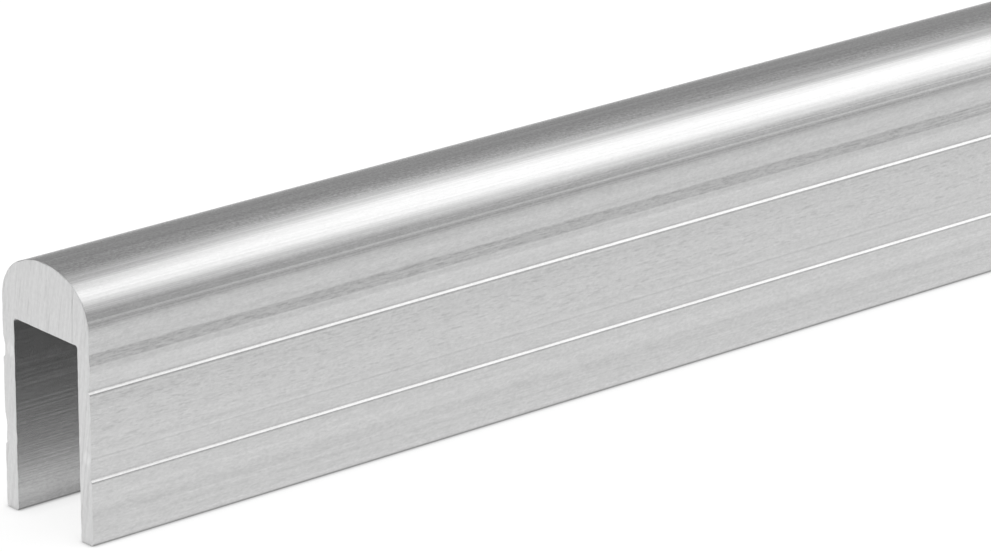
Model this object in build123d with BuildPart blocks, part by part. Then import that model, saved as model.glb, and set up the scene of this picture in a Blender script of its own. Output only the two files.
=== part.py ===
from build123d import *
from math import atan2, degrees, sqrt
import os

# Case closure profile, one straight length of extruded aluminium, in millimetres.
# A panel's edge goes up into the slot between the two legs, and the rounded crown closes the top.
# X runs along the stock, Y across it and Z up. The origin is below the middle of the length, on the
# centre plane, level with the leg tips that the stock stands on.

# Stock length
length = 1000.0

# Slot for the panel, and the metal around it
slot_width = 7.0
slot_depth = 13.7
wall = 1.25
crown_thickness = 4.8

# Top of the section: two small shoulder arcs, tangent to the legs and to one flatter crown arc
crown_radius = 6.6
shoulder_radius = 3.3

# Grooves along the outer face of each leg: a short sloping ledge at the foot, a long taper above it
lower_groove_height = 4.48
upper_groove_height = 10.64
groove_depth = 0.16
ledge_rise = 0.13
taper_rise = 1.5

# Rounding of the section's corners
tip_radius = 0.2
slot_corner_radius = 0.25
lip_radius = 0.15

# Sizes that follow from the ones above
half_width = slot_width / 2 + wall
height = slot_depth + crown_thickness
crown_centre_height = height - crown_radius
shoulder_centre_offset = half_width - shoulder_radius
shoulder_centre_rise = sqrt((crown_radius - shoulder_radius) ** 2 - shoulder_centre_offset**2)
leg_top_height = crown_centre_height + shoulder_centre_rise
shoulder_sweep = degrees(atan2(shoulder_centre_rise, shoulder_centre_offset))
crown_half_sweep = 90 - shoulder_sweep
groove_heights = (lower_groove_height, upper_groove_height)


def corners_at(corners, level):
    """Corners of the section at one height, where the nearest other corner is a ledge's rise away."""
    return corners.filter_by_position(Axis.Y, level - ledge_rise / 2, level + ledge_rise / 2)


with BuildPart() as closure_profile:
    with BuildSketch(Plane.YZ.offset(-length / 2)) as section:
        # Half of the outer shape, from the centre plane out along the leg tips and over the crown
        with BuildLine():
            foot = Line((0, 0), (half_width, 0))
            leg_face = Line(foot @ 1, (half_width, leg_top_height))
            shoulder = JernArc(leg_face @ 1, leg_face % 1, shoulder_radius, shoulder_sweep)
            crown = JernArc(shoulder @ 1, shoulder % 1, crown_radius, crown_half_sweep)
            Line(crown @ 1, foot @ 0)
        make_face()

        # Two grooves in the leg's outer face
        for groove_height in groove_heights:
            ledge_root = (half_width - groove_depth, groove_height + ledge_rise)
            taper_end = (half_width, groove_height + ledge_rise + taper_rise)
            with BuildLine():
                Polyline((half_width, groove_height), ledge_root, taper_end, close=True)
            make_face(mode=Mode.SUBTRACT)

        # The other half is the same, and the slot opens between the legs
        mirror(about=Plane.YZ)
        with Locations((0, slot_depth / 2)):
            Rectangle(slot_width, slot_depth, mode=Mode.SUBTRACT)

        # Rounded corners: leg tips, slot corners and the lips of the groove ledges
        fillet(corners_at(section.vertices(), 0), radius=tip_radius)
        fillet(corners_at(section.vertices(), slot_depth), radius=slot_corner_radius)
        for groove_height in groove_heights:
            fillet(corners_at(section.vertices(), groove_height), radius=lip_radius)
    extrude(amount=length)

closure_profile.part.label = "closure_profile"

os.makedirs("parts", exist_ok=True)
export_step(closure_profile.part, "parts/closure_profile.step")
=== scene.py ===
from math import atan2, cos, degrees, pi, radians, sin, sqrt, tan

import bpy
from mathutils import Matrix, Vector, noise


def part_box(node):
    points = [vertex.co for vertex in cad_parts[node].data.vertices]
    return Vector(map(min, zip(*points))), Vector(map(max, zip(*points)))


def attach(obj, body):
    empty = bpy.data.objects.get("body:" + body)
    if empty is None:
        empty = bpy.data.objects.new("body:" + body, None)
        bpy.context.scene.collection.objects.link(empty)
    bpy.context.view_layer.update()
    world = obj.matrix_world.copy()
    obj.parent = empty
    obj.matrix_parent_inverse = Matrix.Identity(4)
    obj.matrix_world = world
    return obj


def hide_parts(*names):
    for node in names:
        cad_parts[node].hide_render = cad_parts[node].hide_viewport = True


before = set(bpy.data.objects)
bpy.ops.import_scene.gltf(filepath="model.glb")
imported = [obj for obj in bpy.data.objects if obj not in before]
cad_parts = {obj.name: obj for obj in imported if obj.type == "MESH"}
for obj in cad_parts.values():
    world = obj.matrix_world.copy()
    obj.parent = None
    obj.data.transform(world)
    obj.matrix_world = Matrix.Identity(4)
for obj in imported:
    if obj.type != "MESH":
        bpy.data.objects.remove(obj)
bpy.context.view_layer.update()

# Sizes of the closure profile, in metres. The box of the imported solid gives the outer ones.
MM = 0.001
lowest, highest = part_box("closure_profile")
near_end, far_end = lowest.x, highest.x
length = far_end - near_end
half_width = highest.y
crown_top = highest.z
wall = 1.25 * MM
slot_half = half_width - wall
slot_depth = 13.7 * MM
shoulder_radius = 3.3 * MM
crown_radius = 6.6 * MM
drawn_height = 18.5 * MM
groove_heights = (4.48 * MM, 10.64 * MM)
groove_depth = 0.16 * MM
ledge_rise = 0.13 * MM
taper_rise = 1.5 * MM
lip_radius = 0.15 * MM
tip_radius = 0.2 * MM
slot_corner_radius = 0.25 * MM

# Sizes that follow from the ones above
wall_middle = half_width - wall / 2
crown_centre = drawn_height - crown_radius
shoulder_offset = half_width - shoulder_radius
shoulder_rise = sqrt((crown_radius - shoulder_radius) ** 2 - shoulder_offset**2)
leg_top = crown_centre + shoulder_rise
crown_mid = (slot_depth + drawn_height) / 2
shoulder_sweep = atan2(shoulder_rise, shoulder_offset)
crown_squeeze = (crown_top - leg_top) / (drawn_height - leg_top)

# Fine die lines along the stock, side by side: height in mm or dome angle in degrees, and half
# width and depth in mm
leg_die_lines = {
    -1: [(1.95, 0.05, 0.004), (4.36, 0.04, 0.012), (6.13, 0.035, 0.008), (8.9, 0.04, 0.003),
         (10.5, 0.045, 0.014), (11.0, 0.03, 0.005), (12.95, 0.04, 0.003), (13.85, 0.035, 0.005)],
    1: [(1.2, 0.04, 0.004), (3.3, 0.05, 0.003), (4.34, 0.04, 0.01), (6.12, 0.035, 0.007),
        (9.4, 0.04, 0.004), (10.48, 0.045, 0.012), (12.6, 0.05, 0.004), (14.1, 0.035, 0.004)],
}
dome_steps = 36
dome_die_lines = {
    -1: [(2.0, 0.035, 0.004), (10.4, 0.03, 0.004), (16.5, 0.03, 0.003), (20.5, 0.04, 0.005),
         (57.5, 0.03, 0.002), (62.0, 0.03, 0.003), (66.5, 0.04, 0.003), (78.0, 0.04, 0.003)],
    1: [(3.5, 0.035, 0.004), (14.0, 0.03, 0.003), (33.0, 0.04, 0.003), (52.0, 0.03, 0.003),
        (70.0, 0.04, 0.003), (84.0, 0.04, 0.002)],
}

# A streak's height on the near side and its height on the far side add up to this
far_side_turn = leg_top + 0.6 * MM

# Tone and roughness of the metal, and the heights in mm between which the texture and the slot's
# painted shade change. The slot's painted light and shade also change with the distance from the
# stock's end.
metal_tone = 0.57
mill_roughness = 0.19
dome_heights, crown_heights, top_heights = (16.0, 16.6), (17.75, 18.05), (18.05, 18.30)
# Painted light near the slot's ends and painted shade further in, a painted shadow along its foot,
# and painted shade towards its bottom
painted_slot_shading_depths, painted_slot_shading_changes = (0.5, 7.0), (0.02, -0.035)
painted_foot_shadow_heights, painted_foot_shadow_change = (0.15, 1.3), -0.13
painted_lower_shade_heights, painted_lower_shade_change = (3.0, 7.0), -0.04

# Bands along the stock where the tone changes: height, half width and fade in mm, and the change.
# The streaks differ from side to side, and one of them is a painted highlight line on the shoulder.
# The painted shade and painted highlight lines beside the grooves' lips and roots, and a painted
# highlight just above the foot, don't.
streak_and_highlight_bands = [(0.6, 0.4, 0.3, 0.012), (1.35, 0.03, 0.06, -0.022), (1.72, 0.02, 0.05, -0.015),
                (2.25, 0.28, 0.12, -0.022), (3.2, 0.4, 0.3, 0.015), (6.15, 0.03, 0.05, -0.055),
                (10.1, 0.35, 0.3, -0.03), (11.8, 0.3, 0.3, 0.012), (12.32, 0.12, 0.14, -0.035),
                # The band at 15.61 mm is a painted highlight line on the shoulder, not a streak
                (13.8, 0.12, 0.12, -0.018), (15.0, 0.32, 0.12, -0.05), (15.61, 0.045, 0.06, 0.20),
                (16.04, 0.08, 0.10, -0.03), (16.46, 0.10, 0.08, -0.02), (16.80, 0.04, 0.06, -0.02),
                (17.75, 0.04, 0.04, 0.035), (17.85, 0.02, 0.04, -0.035), (17.92, 0.02, 0.03, -0.04),
                (18.02, 0.02, 0.03, 0.04)]
painted_groove_lines = [(0.33, 0.06, 0.15, 0.04), (4.41, 0.035, 0.035, -0.09), (4.70, 0.03, 0.04, -0.05),
                (10.44, 0.02, 0.04, 0.05), (10.57, 0.035, 0.035, -0.09),
                (10.85, 0.03, 0.045, -0.085)]

# Saw-cut ends: their tone, the lean of the marks, the near end's scratch, and the painted
# highlights beside the near end's dented edges, by place in mm across and up, and change of tone
cut_tone = 0.715
mark_lean = radians(-10)
scratch_slant = 0.035
scratch_place = -2.4875 * MM
painted_edge_glints = [(-4.33, 6.1, 0.07), (3.92, 11.35, 0.07)]
glint_reach = (0.45 * MM, 0.6 * MM)

# Dull streak along the upper leg, in mm, and the stretch where bright metal parts it
dull_edges = (12.52, 13.52)
dull_fades = (0.12, 0.2)
dull_waver, dull_fray = 0.22, 0.16
parted_middle, parted_half = near_end + 98 * MM, 18 * MM
parted_gaps = (12.97, 13.22)

# Mesh spacing, and the broken edges of the saw-cut ends
hold = 0.03 * MM
row_spacing = 0.3 * MM
edge_break = 0.03 * MM
least_break = 0.012 * MM
break_waves, break_swing = 1.1 / MM, 2.2
broken_rings = 4
ring_spacing = 25 * MM

# Shares of the flat map: the sides below, and the two ends side by side above them
side_share, end_low, end_share = 0.86, 0.885, 0.11
end_columns, end_column_width = (0.02, 0.52), 0.46

# Dents in the near end's outer edges: side, and height, reach up and down the edge and depth in
# mm. They fade out along the stock over the run.
edge_dents = [(1, 11.47, 0.80, 0.14), (1, 5.90, 1.15, 0.18), (-1, 6.1, 0.5, 0.07)]
dent_run = 0.9 * MM
dent_rings = (0.35, 0.6, 1.0)


def arc(centre_y, centre_z, radius, start, end, steps):
    """Points of the section on an arc, between two angles in degrees."""
    turns = [radians(start + (end - start) * i / steps) for i in range(steps + 1)]
    return [(centre_y + radius * cos(a), centre_z + radius * sin(a)) for a in turns]


def face_rows(bottom, top, die_lines, depth_at):
    """Rows of a leg's outer face between two heights, with a shallow V for each die line in it."""
    rows = [bottom + hold, top - hold]
    dips = {}
    for height, half, depth in die_lines:
        centre, half, depth = height * MM, half * MM, depth * MM
        if bottom + 2 * hold + half < centre < top - 2 * hold - half:
            rows += [centre - half - hold / 2, centre - half, centre, centre + half,
                     centre + half + hold / 2]
            dips[centre] = depth
    count = int((top - bottom) / row_spacing)
    for i in range(1, count):
        z = bottom + (top - bottom) * i / count
        if min(abs(z - row) for row in rows) > 2 * hold:
            rows.append(z)
    return [(half_width - depth_at(z) - dips.get(z, 0.0), z) for z in sorted(rows)]


def flush(z):
    """Depth of the plain leg face."""
    return 0.0


def groove_rows(height, die_lines):
    """The rounded lip, the ledge and the long taper of one groove."""
    run, rise = -groove_depth, ledge_rise
    size = sqrt(run * run + rise * rise)
    turn = atan2(-run, rise)
    tangent = lip_radius * tan(turn / 2)
    lip = arc(half_width - lip_radius, height - tangent, lip_radius, 0, degrees(turn), 6)
    root = (half_width - groove_depth, height + ledge_rise)
    ledge = [(root[0] - run / size * hold, root[1] - rise / size * hold)]

    def taper_depth(z):
        return groove_depth * (1 - (z - root[1]) / taper_rise)

    taper = face_rows(root[1], root[1] + taper_rise, die_lines, taper_depth)
    return lip, ledge, root, taper


def dome_point(angle, dip=0.0):
    """A point of the dome by its normal's elevation in degrees."""
    a = radians(angle)
    if a < shoulder_sweep:
        y = shoulder_offset + (shoulder_radius - dip) * cos(a)
        z = leg_top + (shoulder_radius - dip) * sin(a)
    else:
        y = (crown_radius - dip) * cos(a)
        z = crown_centre + (crown_radius - dip) * sin(a)
    return (y, leg_top + (z - leg_top) * crown_squeeze)


def dome_rows(die_lines):
    """The dome from the leg's top to the centre plane."""
    marks = {round(degrees(shoulder_sweep), 3): 0.0}
    for i in range(dome_steps + 1):
        marks[round(90 * i / dome_steps, 3)] = 0.0
    for angle, half, depth in die_lines:
        radius = shoulder_radius if radians(angle) < shoulder_sweep else crown_radius
        reach = degrees(half * MM / radius)
        for near in [m for m in marks if 0 < m < 90 and abs(m - angle) < 2 * reach]:
            del marks[near]
        for offset in (-1.5, -1, 1, 1.5):
            marks[angle + offset * reach] = 0.0
        marks[angle] = depth * MM
    return [dome_point(a, marks[a]) for a in sorted(marks)]


def half_section(side):
    """Outer points of one half, from the middle of the leg tip to the centre plane, and their
    partners on the slot, with the places of the sharp groove roots."""
    die_lines = leg_die_lines[side]
    outer = [(wall_middle, 0.0), (half_width - tip_radius - hold, 0.0)]
    outer += arc(half_width - tip_radius, tip_radius, tip_radius, -90, 0, 6)
    tip_count = len(outer)
    bottom = tip_radius
    sharp = []
    for height in groove_heights:
        lip, ledge, root, taper = groove_rows(height, die_lines)
        outer += face_rows(bottom, lip[0][1], die_lines, flush) + lip + ledge
        sharp.append(len(outer))
        outer += [root] + taper
        bottom = root[1] + taper_rise
        outer.append((half_width, bottom))
    outer += face_rows(bottom, leg_top, die_lines, flush) + dome_rows(dome_die_lines[side])

    roof_start = slot_depth - slot_corner_radius
    crown_start = next(i for i, p in enumerate(outer) if p[1] > roof_start)
    inner = [(2 * wall_middle - y, z) for y, z in outer[:tip_count]]
    inner += [(slot_half, z) for y, z in outer[tip_count:crown_start]]
    fillet = slot_corner_radius * pi / 2
    roof = fillet + slot_half - slot_corner_radius
    left = len(outer) - crown_start
    for i in range(left):
        along = roof * i / (left - 1)
        if along < fillet:
            a = along / slot_corner_radius
            inner.append((slot_half - slot_corner_radius + slot_corner_radius * cos(a),
                          roof_start + slot_corner_radius * sin(a)))
        else:
            inner.append((slot_half - slot_corner_radius - (along - fillet), slot_depth))
    inner[-1] = (0.0, slot_depth)
    outer[-1] = (0.0, crown_top)
    return outer, inner, sharp


def closed_section():
    """The whole section as one loop, the loop places of the sharp roots, and the pairs of loop
    places that face each other across the metal."""
    partners = []
    right_outer, right_inner, right_sharp = half_section(1)
    left_outer, left_inner, left_sharp = half_section(-1)
    n, m = len(right_outer), len(left_outer)
    loop = right_outer + [(-y, z) for y, z in reversed(left_outer[:-1])]
    loop += [(-y, z) for y, z in left_inner[1:]]
    loop += list(reversed(right_inner[1:-1]))
    sharp = right_sharp + [n + m - 2 - i for i in left_sharp]
    total = len(loop)
    for i in range(n):
        inner_place = (total - i) % total if i < n - 1 else n + 2 * m - 3
        partners.append((i, inner_place))
    for i in range(m - 1, -1, -1):
        partners.append((n + m - 2 - i, n + m - 2 + i))
    return loop, sharp, partners


def inset(loop, amounts):
    """The loop moved into the metal, each point by its own amount."""
    moved = []
    for i, (y, z) in enumerate(loop):
        before, after = loop[i - 1], loop[(i + 1) % len(loop)]
        into = Vector((before[0] - y, before[1] - z)), Vector((after[0] - y, after[1] - z))
        sides = [Vector((v.y, -v.x)).normalized() * s for v, s in zip(into, (1, -1))]
        bisector = (sides[0] + sides[1]).normalized()
        reach = amounts[i] / max(0.5, bisector.dot(sides[0]))
        moved.append((y + bisector.x * reach, z + bisector.y * reach))
    return moved


def girths(loop):
    """Distance round the loop at each point, and the whole distance."""
    found, total = [], 0.0
    for i, point in enumerate(loop):
        found.append(total)
        after = loop[(i + 1) % len(loop)]
        total += sqrt((after[0] - point[0]) ** 2 + (after[1] - point[1]) ** 2)
    return found, total


def build_profile():
    """The whole length of stock: the section swept along X, with lightly broken edges at both
    saw-cut ends."""
    loop, sharp, partners = closed_section()
    count = len(loop)
    round_loop, whole_girth = girths(loop)

    def edge_sizes(end):
        waves = [noise.noise(Vector((g * break_waves, 7.0 * end, 0.0))) for g in round_loop]
        return [max(least_break, edge_break * (1 + break_swing * wave)) for wave in waves]

    def dent_depth(y, z):
        depth = 0.0
        for side, height, reach, most in edge_dents:
            away = abs(z / MM - height) / reach
            if y * side > wall_middle and away < 1:
                depth += most * MM * (0.5 + 0.5 * cos(pi * away))
        return depth

    end_sets = []
    for end, start, into in ((0, near_end, 1), (1, far_end, -1)):
        sizes = edge_sizes(end)
        dents = [dent_depth(y, z) if end == 0 else 0.0 for y, z in loop]
        steps = [(0.0, 1.5)] + [(1 - cos(a), 1 - sin(a))
                                for a in (0.0, pi / 6, pi / 3, pi / 2)] + [(1.6, 0.0)]
        made = []
        for along, inward in steps:
            runs = [along * size for size in sizes]
            made.append((runs, [size * inward for size in sizes]))
        for share in dent_rings:
            made.append(([share * dent_run] * count, [0.0] * count))
        end_rings = []
        for runs, inwards in made:
            left = [max(0.0, 1 - run / dent_run) ** 2 for run in runs]
            moved = inset(loop, [i + d * strength for i, d, strength in zip(inwards, dents, left)])
            end_rings.append([(start + into * run, y, z) for run, (y, z) in zip(runs, moved)])
        end_sets.append(end_rings)
    body_rings = round(length / ring_spacing)
    middle = [[(near_end + length * i / body_rings, y, z) for y, z in loop]
              for i in range(1, body_rings)]
    rings = end_sets[0] + middle + list(reversed(end_sets[1]))

    vertices = [p for ring in rings for p in ring]
    faces, kinds = [], []
    last = len(rings) - 1
    for r in range(last):
        for i in range(count):
            j = (i + 1) % count
            faces.append((r * count + i, r * count + j, (r + 1) * count + j, (r + 1) * count + i))
            kinds.append(1 if r < broken_rings or r >= last - broken_rings else 0)
    for base, flip in ((0, True), (last * count, False)):
        for (a, b), (c, d) in zip(partners, partners[1:]):
            corners = []
            for place in (a, c, d, b):
                if base + place not in corners:
                    corners.append(base + place)
            if len(corners) > 2:
                faces.append(tuple(reversed(corners)) if flip else tuple(corners))
                kinds.append(1)

    mesh = bpy.data.meshes.new("closure_profile_stock")
    mesh.from_pydata(vertices, [], faces)
    mesh.update()
    for polygon, kind in zip(mesh.polygons, kinds):
        polygon.use_smooth = True
        polygon.material_index = kind
    sharp_places = set(sharp)
    for edge in mesh.edges:
        a, b = edge.vertices
        if a % count == b % count and a % count in sharp_places:
            edge.use_edge_sharp = True

    flat_map = mesh.uv_layers.new(name="OFBake")
    for polygon, kind in zip(mesh.polygons, kinds):
        for corner in polygon.loop_indices:
            vertex = mesh.loops[corner].vertex_index
            x, y, z = vertices[vertex]
            if kind == 0:
                place = vertex % count
                around = round_loop[place]
                if place == 0 and any(mesh.loops[k].vertex_index % count == count - 1
                                      for k in polygon.loop_indices):
                    around = whole_girth
                flat_map.uv[corner].vector = ((x - near_end) / length,
                                              side_share * around / whole_girth)
            else:
                column = end_columns[0] if x < 0 else end_columns[1]
                flat_map.uv[corner].vector = (column + end_column_width * z / crown_top,
                                              end_low + end_share * (y / half_width + 1) / 2)
    piece = bpy.data.objects.new("profile_stock", mesh)
    bpy.context.scene.collection.objects.link(piece)
    return piece


# Materials

def node(tree, kind, inputs=None, **settings):
    """A node of the tree, with its settings, and its inputs set or linked."""
    made = tree.nodes.new(kind)
    for name, value in settings.items():
        setattr(made, name, value)
    for name, value in (inputs or {}).items():
        socket = made.inputs[name]
        if isinstance(value, bpy.types.NodeSocket):
            tree.links.new(value, socket)
        else:
            socket.default_value = value
    return made


def math(tree, operation, a, b=0.0, c=0.0):
    """One step of arithmetic."""
    return node(tree, "ShaderNodeMath", {0: a, 1: b, 2: c}, operation=operation).outputs[0]


def new_group(name, inputs, outputs):
    """An empty node group, with its inputs and outputs named."""
    tree = bpy.data.node_groups.new(name, "ShaderNodeTree")
    for label, kind, value in inputs:
        socket = tree.interface.new_socket(label, in_out="INPUT", socket_type="NodeSocket" + kind)
        if value is not None:
            socket.default_value = value
    for label, kind in outputs:
        tree.interface.new_socket(label, in_out="OUTPUT", socket_type="NodeSocket" + kind)
    return tree, tree.nodes.new("NodeGroupInput").outputs, tree.nodes.new("NodeGroupOutput").inputs


def drawn_lines_group():
    """Noise pulled out along X: fine lines where it is long, grain where it is short."""
    tree, given, result = new_group(
        "Drawn lines",
        [("Place", "Vector", None), ("Line length", "Float", 0.1), ("Spacing", "Float", 0.001),
         ("Detail", "Float", 2.0), ("Shift", "Float", 0.0)],
        [("Lines", "Float")])
    parts = node(tree, "ShaderNodeSeparateXYZ", {0: given["Place"]}).outputs
    along = math(tree, "ADD", math(tree, "DIVIDE", parts[0], given["Line length"]), given["Shift"])
    across = [math(tree, "DIVIDE", parts[i], given["Spacing"]) for i in (1, 2)]
    pulled = node(tree, "ShaderNodeCombineXYZ", {0: along, 1: across[0], 2: across[1]}).outputs[0]
    pattern = node(tree, "ShaderNodeTexNoise",
                   {"Vector": pulled, "Scale": 1.0, "Detail": given["Detail"], "Roughness": 0.6})
    tree.links.new(pattern.outputs[0], result["Lines"])
    return tree


def band_group():
    """1 within a band about a centre, fading to 0 over the fade."""
    tree, given, result = new_group(
        "Band",
        [("Value", "Float", 0.0), ("Centre", "Float", 0.0), ("Half width", "Float", 0.001),
         ("Fade", "Float", 0.001)],
        [("Mask", "Float")])
    away = math(tree, "ABSOLUTE", math(tree, "SUBTRACT", given["Value"], given["Centre"]))
    outer = math(tree, "ADD", given["Half width"], given["Fade"])
    mask = node(tree, "ShaderNodeMapRange",
                {"Value": away, "From Min": given["Half width"], "From Max": outer,
                 "To Min": 1.0, "To Max": 0.0}, interpolation_type="SMOOTHSTEP")
    tree.links.new(mask.outputs[0], result["Mask"])
    return tree


drawn_lines = drawn_lines_group()
band = band_group()


def lines(tree, place, line_length, spacing, detail=2.0, shift=0.0):
    """Noise drawn out along X, with 0.5 as its middle value."""
    made = node(tree, "ShaderNodeGroup", node_tree=drawn_lines)
    tree.links.new(place, made.inputs["Place"])
    for name, value in (("Line length", line_length), ("Spacing", spacing), ("Detail", detail),
                        ("Shift", shift)):
        made.inputs[name].default_value = value
    return made.outputs["Lines"]


def band_mask(tree, value, centre, half, fade):
    """1 within half of the centre, fading to 0 over the fade."""
    made = node(tree, "ShaderNodeGroup", node_tree=band)
    tree.links.new(value, made.inputs["Value"])
    for name, number in (("Centre", centre), ("Half width", half), ("Fade", fade)):
        made.inputs[name].default_value = number
    return made.outputs["Mask"]


def weigh(tree, start, *terms):
    """start plus each value times its weight."""
    total = start
    for value, weight in terms:
        total = math(tree, "MULTIPLY_ADD", value, weight, total)
    return total


def balanced(tree, start, *terms):
    """start plus each noise times its weight, less half of the weights, because a noise's middle
    value is 0.5."""
    return weigh(tree, start - 0.5 * sum(weight for value, weight in terms), *terms)


def ramp(tree, value, start, end, low, high):
    """A smooth change from low at start to high at end."""
    return node(tree, "ShaderNodeMapRange",
                {"Value": value, "From Min": start, "From Max": end, "To Min": low,
                 "To Max": high}, interpolation_type="SMOOTHSTEP").outputs[0]


def change_over(tree, value, stretch, low=0.0, high=1.0):
    """A smooth change from low to high over a stretch, whose two ends are in mm."""
    return ramp(tree, value, stretch[0] * MM, stretch[1] * MM, low, high)


def slope(tree, value, start, end, low, high):
    """A straight change from low at start to high at end."""
    return node(tree, "ShaderNodeMapRange",
                {"Value": value, "From Min": start, "From Max": end, "To Min": low,
                 "To Max": high}).outputs[0]


def grey(tree, value):
    """The value as an even grey colour."""
    return node(tree, "ShaderNodeCombineColor", {0: value, 1: value, 2: value}).outputs[0]


def mill_finish():
    """Extruded aluminium as it leaves the die: satin, with fine lines along the stock."""
    material = bpy.data.materials.new("mill_finish")
    material.use_nodes = True
    tree = material.node_tree
    shader = tree.nodes["Principled BSDF"]
    place = node(tree, "ShaderNodeTexCoord").outputs["Object"]
    parts = node(tree, "ShaderNodeSeparateXYZ", {0: place}).outputs

    # The far side carries the streaks turned upside down, so the two sides differ
    far_side = math(tree, "GREATER_THAN", parts[1], 0.0)
    turned = math(tree, "SUBTRACT", far_side_turn, parts[2])
    height = node(tree, "ShaderNodeMix", {0: far_side, 2: parts[2], 3: turned}).outputs[0]
    clear_of_slot = math(tree, "MULTIPLY", 2.0, math(tree, "GREATER_THAN", parts[2], crown_mid))
    outside = math(tree, "GREATER_THAN", math(tree, "ADD", clear_of_slot,
                   math(tree, "ABSOLUTE", parts[1])), wall_middle)

    die = lines(tree, place, 400 * MM, 0.22 * MM, 3.0)
    streaks = lines(tree, place, 22 * MM, 0.40 * MM, 3.0, 11.0)
    grain = lines(tree, place, 0.30 * MM, 0.12 * MM, 2.0, 5.0)
    mottle = lines(tree, place, 1.6 * MM, 0.40 * MM, 3.0, 23.0)

    # Long lines show most on the crown, and short grain on the legs
    dome, crown, top = [change_over(tree, parts[2], heights)
                        for heights in (dome_heights, crown_heights, top_heights)]
    long_lines = balanced(tree, 0.0, (die, 0.09), (streaks, 0.08))
    short_grain = balanced(tree, 0.0, (grain, 0.18), (mottle, 0.11))
    long_strength = weigh(tree, 1.0, (crown, 1.2), (dome, 0.3))
    short_strength = weigh(tree, 1.0, (dome, -0.6))
    specks = balanced(tree, 0.0, (lines(tree, place, 0.25 * MM, 0.14 * MM, 2.0, 83.0), 1.0))
    top_weight = weigh(tree, 0.05, (top, 0.38))
    texture = math(tree, "ADD", math(tree, "MULTIPLY", long_lines, long_strength),
                   math(tree, "MULTIPLY", short_grain, short_strength))
    texture = weigh(tree, texture, (math(tree, "MULTIPLY", specks, top_weight), 1.0))
    # The streaks, with a painted highlight line on the shoulder, and the painted shade and painted
    # highlight lines at the grooves and just above the foot
    streaks_and_painted_lines = 0.0
    for level, changes in ((height, streak_and_highlight_bands), (parts[2], painted_groove_lines)):
        for centre, half, fade, change in changes:
            mask = band_mask(tree, level, centre * MM, half * MM, fade * MM)
            streaks_and_painted_lines = weigh(tree, streaks_and_painted_lines, (mask, change))
    inside = math(tree, "SUBTRACT", 1.0, outside)
    tone = weigh(tree, metal_tone, (texture, 1.0), (streaks_and_painted_lines, outside))

    # Painted shade in the slot: painted light near the ends and painted shade further in, a painted
    # shadow along the foot, and painted shade towards the bottom
    depth_in = math(tree, "SUBTRACT", length / 2, math(tree, "ABSOLUTE", parts[0]))
    slot_depth_shading_paint = change_over(tree, depth_in, painted_slot_shading_depths, *painted_slot_shading_changes)
    foot = change_over(tree, parts[2], painted_foot_shadow_heights, painted_foot_shadow_change, 0.0)
    lower = change_over(tree, parts[2], painted_lower_shade_heights, painted_lower_shade_change, 0.0)
    tone = weigh(tree, tone, (inside, slot_depth_shading_paint), (inside, foot), (inside, lower))

    # Dark dashes and blotches on the flat between the grooves
    flat = math(tree, "MULTIPLY", band_mask(tree, height, 8.7 * MM, 1.5 * MM, 0.7 * MM), outside)
    dashes = ramp(tree, lines(tree, place, 1.1 * MM, 0.16 * MM, 2.0, 71.0), 0.55, 0.68, 0.0, 1.0)
    blotches = ramp(tree, mottle, 0.58, 0.70, 0.0, 1.0)
    tone = weigh(tree, tone, (math(tree, "MULTIPLY", flat, dashes), -0.065),
                 (math(tree, "MULTIPLY", flat, blotches), -0.045))

    # The dull streak: a straight lower edge, an uneven upper one, and wisps of bright metal in it
    waver = lines(tree, place, 9 * MM, 0.4 * MM, 2.0, 31.0)
    wisps = lines(tree, place, 30 * MM, 0.11 * MM, 2.0, 47.0)
    fray = lines(tree, place, 0.6 * MM, 0.25 * MM, 2.0, 91.0)
    ragged = weigh(tree, height, (waver, dull_waver * MM), (fray, dull_fray * MM))
    lower_edge, upper_edge = dull_edges
    under = change_over(tree, height, (lower_edge, lower_edge + dull_fades[0]))
    over = change_over(tree, ragged, (upper_edge, upper_edge + dull_fades[1]), 1.0, 0.0)
    body = ramp(tree, wisps, 0.57, 0.76, 1.0, 0.5)
    dull = math(tree, "MULTIPLY", math(tree, "MULTIPLY", under, over),
                math(tree, "MULTIPLY", body, outside))
    edge_height = (lower_edge + dull_fades[0]) * MM
    edge_line = math(tree, "MULTIPLY", outside,
                     band_mask(tree, height, edge_height, 0.02 * MM, 0.04 * MM))
    spots = ramp(tree, lines(tree, place, 0.8 * MM, 0.12 * MM, 3.0, 61.0), 0.42, 0.68, 0.0, 1.0)
    tone = weigh(tree, tone, (dull, -0.10), (math(tree, "MULTIPLY", dull, spots), -0.08),
                 (edge_line, -0.015))
    parted = math(tree, "MULTIPLY", outside,
                  band_mask(tree, parts[0], parted_middle, parted_half, 4 * MM))
    gaps = 0.0
    for gap in parted_gaps:
        gaps = weigh(tree, gaps, (band_mask(tree, height, gap * MM, 0.02 * MM, 0.05 * MM), 1.0))
    tone = weigh(tree, tone, (math(tree, "MULTIPLY", parted, gaps), 0.07))
    tree.links.new(grey(tree, tone), shader.inputs["Base Color"])

    rough = balanced(tree, mill_roughness, (streaks, 0.05), (grain, 0.04))
    rough = weigh(tree, rough, (dull, 0.05), (inside, 0.06))
    tree.links.new(rough, shader.inputs["Roughness"])
    relief = weigh(tree, 0.0, (die, 1.0), (grain, 0.02))
    bump = node(tree, "ShaderNodeBump", {"Height": relief, "Distance": 0.012 * MM, "Strength": 1.0})
    tree.links.new(bump.outputs[0], shader.inputs["Normal"])
    tangent = node(tree, "ShaderNodeTangent", direction_type="UV_MAP", uv_map="OFBake")
    tree.links.new(tangent.outputs[0], shader.inputs["Tangent"])
    shader.inputs["Anisotropic"].default_value = 0.85
    shader.inputs["Anisotropic Rotation"].default_value = 0.25
    shader.inputs["Metallic"].default_value = 1.0
    return material


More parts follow.
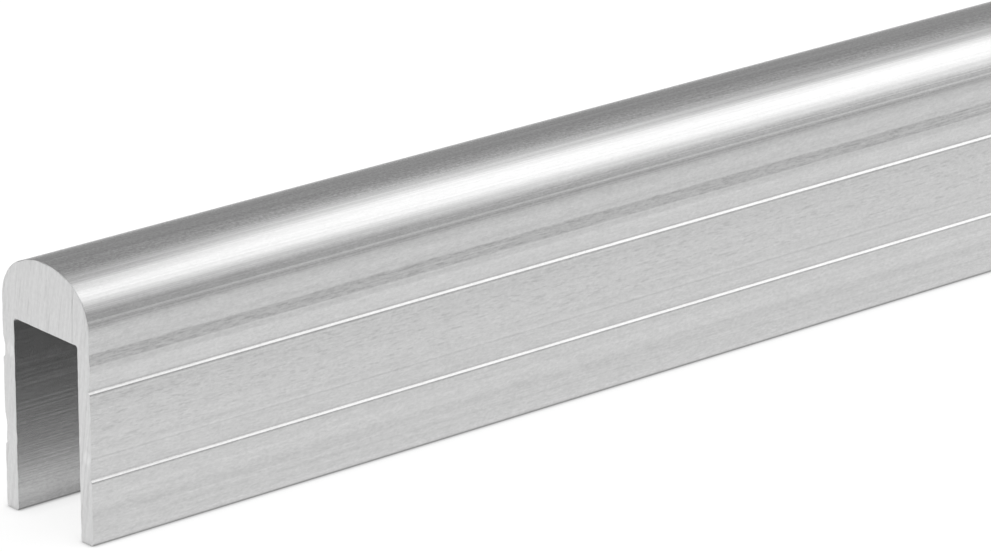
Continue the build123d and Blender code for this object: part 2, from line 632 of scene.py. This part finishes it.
def saw_cut():
    """The ends as the saw leaves them: fine marks, a few degrees off upright."""
    material = bpy.data.materials.new("saw_cut_end")
    material.use_nodes = True
    tree = material.node_tree
    shader = tree.nodes["Principled BSDF"]
    place = node(tree, "ShaderNodeTexCoord").outputs["Object"]
    turned = node(tree, "ShaderNodeVectorRotate", {"Vector": place, "Angle": mark_lean},
                  rotation_type="X_AXIS").outputs[0]
    parts = node(tree, "ShaderNodeSeparateXYZ", {0: turned}).outputs
    upright = node(tree, "ShaderNodeCombineXYZ", {0: parts[2], 1: parts[1], 2: parts[0]}).outputs[0]
    marks = lines(tree, upright, 2.6 * MM, 0.15 * MM, 3.0)
    long_marks = lines(tree, upright, 14 * MM, 0.3 * MM, 2.0, 4.0)
    speckle = lines(tree, upright, 0.4 * MM, 0.25 * MM, 2.0, 9.0)
    tone = balanced(tree, cut_tone, (marks, 0.20), (long_marks, 0.08), (speckle, 0.14))
    strokes = ramp(tree, lines(tree, upright, 3.0 * MM, 0.22 * MM, 2.0, 15.0), 0.56, 0.70, 0.0, 1.0)
    tone = weigh(tree, tone, (strokes, -0.07))

    # One thin scratch down the near end's crown, over the slot's near wall
    spot = node(tree, "ShaderNodeSeparateXYZ", {0: place}).outputs
    beside = weigh(tree, 0.0, (spot[1], 1.0), (spot[2], scratch_slant))
    scratch = math(tree, "MULTIPLY", math(tree, "LESS_THAN", spot[0], 0.0),
                   band_mask(tree, beside, scratch_place, 0.035 * MM, 0.03 * MM))
    tone = weigh(tree, tone, (scratch, -0.13))
    # Painted highlights on the ends, where the near end's edges are dented
    for across, height, change in painted_edge_glints:
        offsets = [math(tree, "DIVIDE", math(tree, "SUBTRACT", spot[axis], middle * MM), reach)
                   for axis, middle, reach in zip((1, 2), (across, height), glint_reach)]
        away = weigh(tree, 0.0, *zip(offsets, offsets))
        tone = weigh(tree, tone, (ramp(tree, away, 0.2, 1.0, 1.0, 0.0), change))
    tree.links.new(grey(tree, tone), shader.inputs["Base Color"])
    rough = weigh(tree, 0.40, (marks, 0.1))
    tree.links.new(rough, shader.inputs["Roughness"])
    bump = node(tree, "ShaderNodeBump", {"Height": marks, "Distance": 0.004 * MM})
    tree.links.new(bump.outputs[0], shader.inputs["Normal"])
    shader.inputs["Metallic"].default_value = 1.0
    return material


profile = build_profile()
profile.data.materials.append(mill_finish())
profile.data.materials.append(saw_cut())
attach(profile, "root")
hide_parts("closure_profile")


# Floor, light and camera

floor_half = 40.0
floor_tone = 0.9
# Painted contact shadow and painted soft shade on the floor's glow: reach and depth of each
contact_reach, contact_depth = 0.35 * MM, 0.80
shade_reach, shade_depth = 1.6 * MM, 0.22
floor_glow, seen_glow, glow_share = 1.2, 0.05, 0.66

# The painted pool of light on the floor, as the metal sees it: its middle line, where it starts and
# stops fading on each side, and the tone beyond
strip_middle, strip_fade, beyond_tone = 27.5 * MM, (70 * MM, 170 * MM), 0.38


def pale_floor():
    """White to the eye, and to the metal white near the stock and pale grey farther off, a painted
    pool of light. It keeps the stock's shadow, its glow darkened by a painted contact shadow and
    painted soft shade near the stock, and from below it is clear, so that the underside can be
    seen."""
    material = bpy.data.materials.new("pale_floor")
    material.use_nodes = True
    tree = material.node_tree
    tree.nodes.remove(tree.nodes["Principled BSDF"])
    place = node(tree, "ShaderNodeTexCoord").outputs["Object"]
    parts = node(tree, "ShaderNodeSeparateXYZ", {0: place}).outputs
    past_end = math(tree, "SUBTRACT", math(tree, "ABSOLUTE", parts[0]), length / 2)
    beside = math(tree, "ABSOLUTE", math(tree, "SUBTRACT", parts[1], strip_middle))
    path = node(tree, "ShaderNodeLightPath").outputs
    # Painted pool of light: to all but the eye the floor is bright near the stock, pale grey
    # farther off
    fade = ramp(tree, math(tree, "MAXIMUM", beside, past_end), *strip_fade, 1.0, beyond_tone)
    fade = math(tree, "MAXIMUM", fade, path["Is Camera Ray"])
    tone = grey(tree, math(tree, "MULTIPLY", fade, floor_tone))
    lit = 1.0
    # Painted contact shadow and painted soft shade: the glow is darkened near the stock by ambient
    # occlusion
    for reach, depth in ((contact_reach, contact_depth), (shade_reach, shade_depth)):
        open_share = node(tree, "ShaderNodeAmbientOcclusion", {"Distance": reach}, samples=8)
        shade = math(tree, "MULTIPLY_ADD", open_share.outputs["AO"], depth, 1 - depth)
        lit = math(tree, "MULTIPLY", lit, shade)
    strength = math(tree, "MULTIPLY_ADD", path["Is Camera Ray"], seen_glow, floor_glow)
    glow = grey(tree, math(tree, "MULTIPLY", math(tree, "MULTIPLY", fade, lit), strength))
    matt = node(tree, "ShaderNodeBsdfDiffuse", {"Color": tone})
    light = node(tree, "ShaderNodeEmission", {"Color": glow, "Strength": 1.0})
    seen = math(tree, "MAXIMUM", path["Is Camera Ray"],
                math(tree, "MAXIMUM", path["Is Glossy Ray"], path["Is Transmission Ray"]))
    share = math(tree, "MULTIPLY", seen, glow_share)
    mixed = node(tree, "ShaderNodeMixShader", {0: share, 1: matt.outputs[0], 2: light.outputs[0]})
    below = node(tree, "ShaderNodeNewGeometry").outputs["Backfacing"]
    clear = node(tree, "ShaderNodeBsdfTransparent")
    sheet = node(tree, "ShaderNodeMixShader", {0: below, 1: mixed.outputs[0], 2: clear.outputs[0]})
    tree.links.new(sheet.outputs[0], tree.nodes["Material Output"].inputs["Surface"])
    return material


def floor():
    """The level floor that the stock stands on."""
    half = floor_half
    mesh = bpy.data.meshes.new("floor")
    mesh.from_pydata([(-half, -half, 0), (half, -half, 0), (half, half, 0), (-half, half, 0)],
                     [], [(0, 1, 2, 3)])
    mesh.materials.append(pale_floor())
    sheet = bpy.data.objects.new("floor", mesh)
    bpy.context.scene.collection.objects.link(sheet)


# Brightness of the room behind, in front and past the ends, and what the overhead light adds
back_level, front_levels, end_level = 0.39, (0.46, 0.70), 0.9
slow_level, quick_level = 0.64, 0.80


def room():
    """A soft grey room with one broad band of soft light over the stock, along its whole length. In
    the plane across the stock, 0 degrees is level in front of it and 90 is straight up. along is
    how far a direction points along the stock, from -1 to 1."""
    world = bpy.data.worlds.new("room")
    bpy.context.scene.world = world
    world.use_nodes = True
    tree = world.node_tree
    direction = node(tree, "ShaderNodeTexCoord").outputs["Generated"]
    along, across, up = node(tree, "ShaderNodeSeparateXYZ", {0: direction}).outputs
    rise = math(tree, "ARCTAN2", up, math(tree, "MULTIPLY", across, -1.0))

    # Front edge of the light, slanting so that it starts lower further along the stock
    slant = slope(tree, along, 0.42, 0.80, radians(23.5), radians(-27))
    front = ramp(tree, math(tree, "SUBTRACT", rise, slant), radians(12), radians(66), 0.0, 1.0)

    # Back edge of the light: a quick fall and a slow one, further back in the middle
    growth = ramp(tree, along, 0.552, 0.590, 0.0, 1.0)
    ebb = ramp(tree, along, 0.60, 0.64, 0.0, 1.0)
    quick_place = weigh(tree, rise, (growth, -radians(38.5)), (ebb, radians(18)))
    slow_place = weigh(tree, rise, (growth, -radians(16)), (ebb, radians(6)))
    quick = ramp(tree, quick_place, radians(64), radians(84), 1.0, 0.0)
    slow = ramp(tree, slow_place, radians(86), radians(126), 1.0, 0.0)

    overhead = weigh(tree, back_level, (slow, slow_level), (quick, quick_level))
    before = slope(tree, along, 0.5, 0.7, *front_levels)
    level = node(tree, "ShaderNodeMix", {0: front, 2: before, 3: overhead}).outputs[0]
    ends = math(tree, "MAXIMUM", ramp(tree, along, -0.85, -0.68, 1.0, 0.0),
                ramp(tree, along, 0.8, 0.98, 0.0, 1.0))
    level = node(tree, "ShaderNodeMix", {0: ends, 2: level, 3: end_level}).outputs[0]
    eye = node(tree, "ShaderNodeLightPath").outputs["Is Camera Ray"]
    level = node(tree, "ShaderNodeMix", {0: eye, 2: level, 3: 1.0}).outputs[0]
    tree.links.new(grey(tree, level), tree.nodes["Background"].inputs["Color"])


def camera():
    """The photograph's own view of the near end."""
    lens, sensor = 214.2227, 36.0
    yaw, pitch, roll = radians(40.4857), radians(19.8444), radians(-0.1834)
    place = Vector((near_end - 212.2076 * MM, -293.9293 * MM, 148.0961 * MM))
    ahead = Vector((sin(yaw) * cos(pitch), cos(yaw) * cos(pitch), -sin(pitch)))
    right = Vector((cos(yaw), -sin(yaw), 0))
    down = ahead.cross(right)
    right, down = cos(roll) * right + sin(roll) * down, cos(roll) * down - sin(roll) * right
    data = bpy.data.cameras.new("camera")
    data.lens, data.sensor_width = lens, sensor
    data.clip_start, data.clip_end = 0.01, 100
    seen = bpy.data.objects.new("camera", data)
    turn = Matrix((right, -down, -ahead)).transposed().to_4x4()
    seen.matrix_world = Matrix.Translation(place) @ turn
    bpy.context.scene.collection.objects.link(seen)
    bpy.context.scene.camera = seen


floor()
room()
camera()
bpy.context.scene.view_settings.view_transform = "Standard"
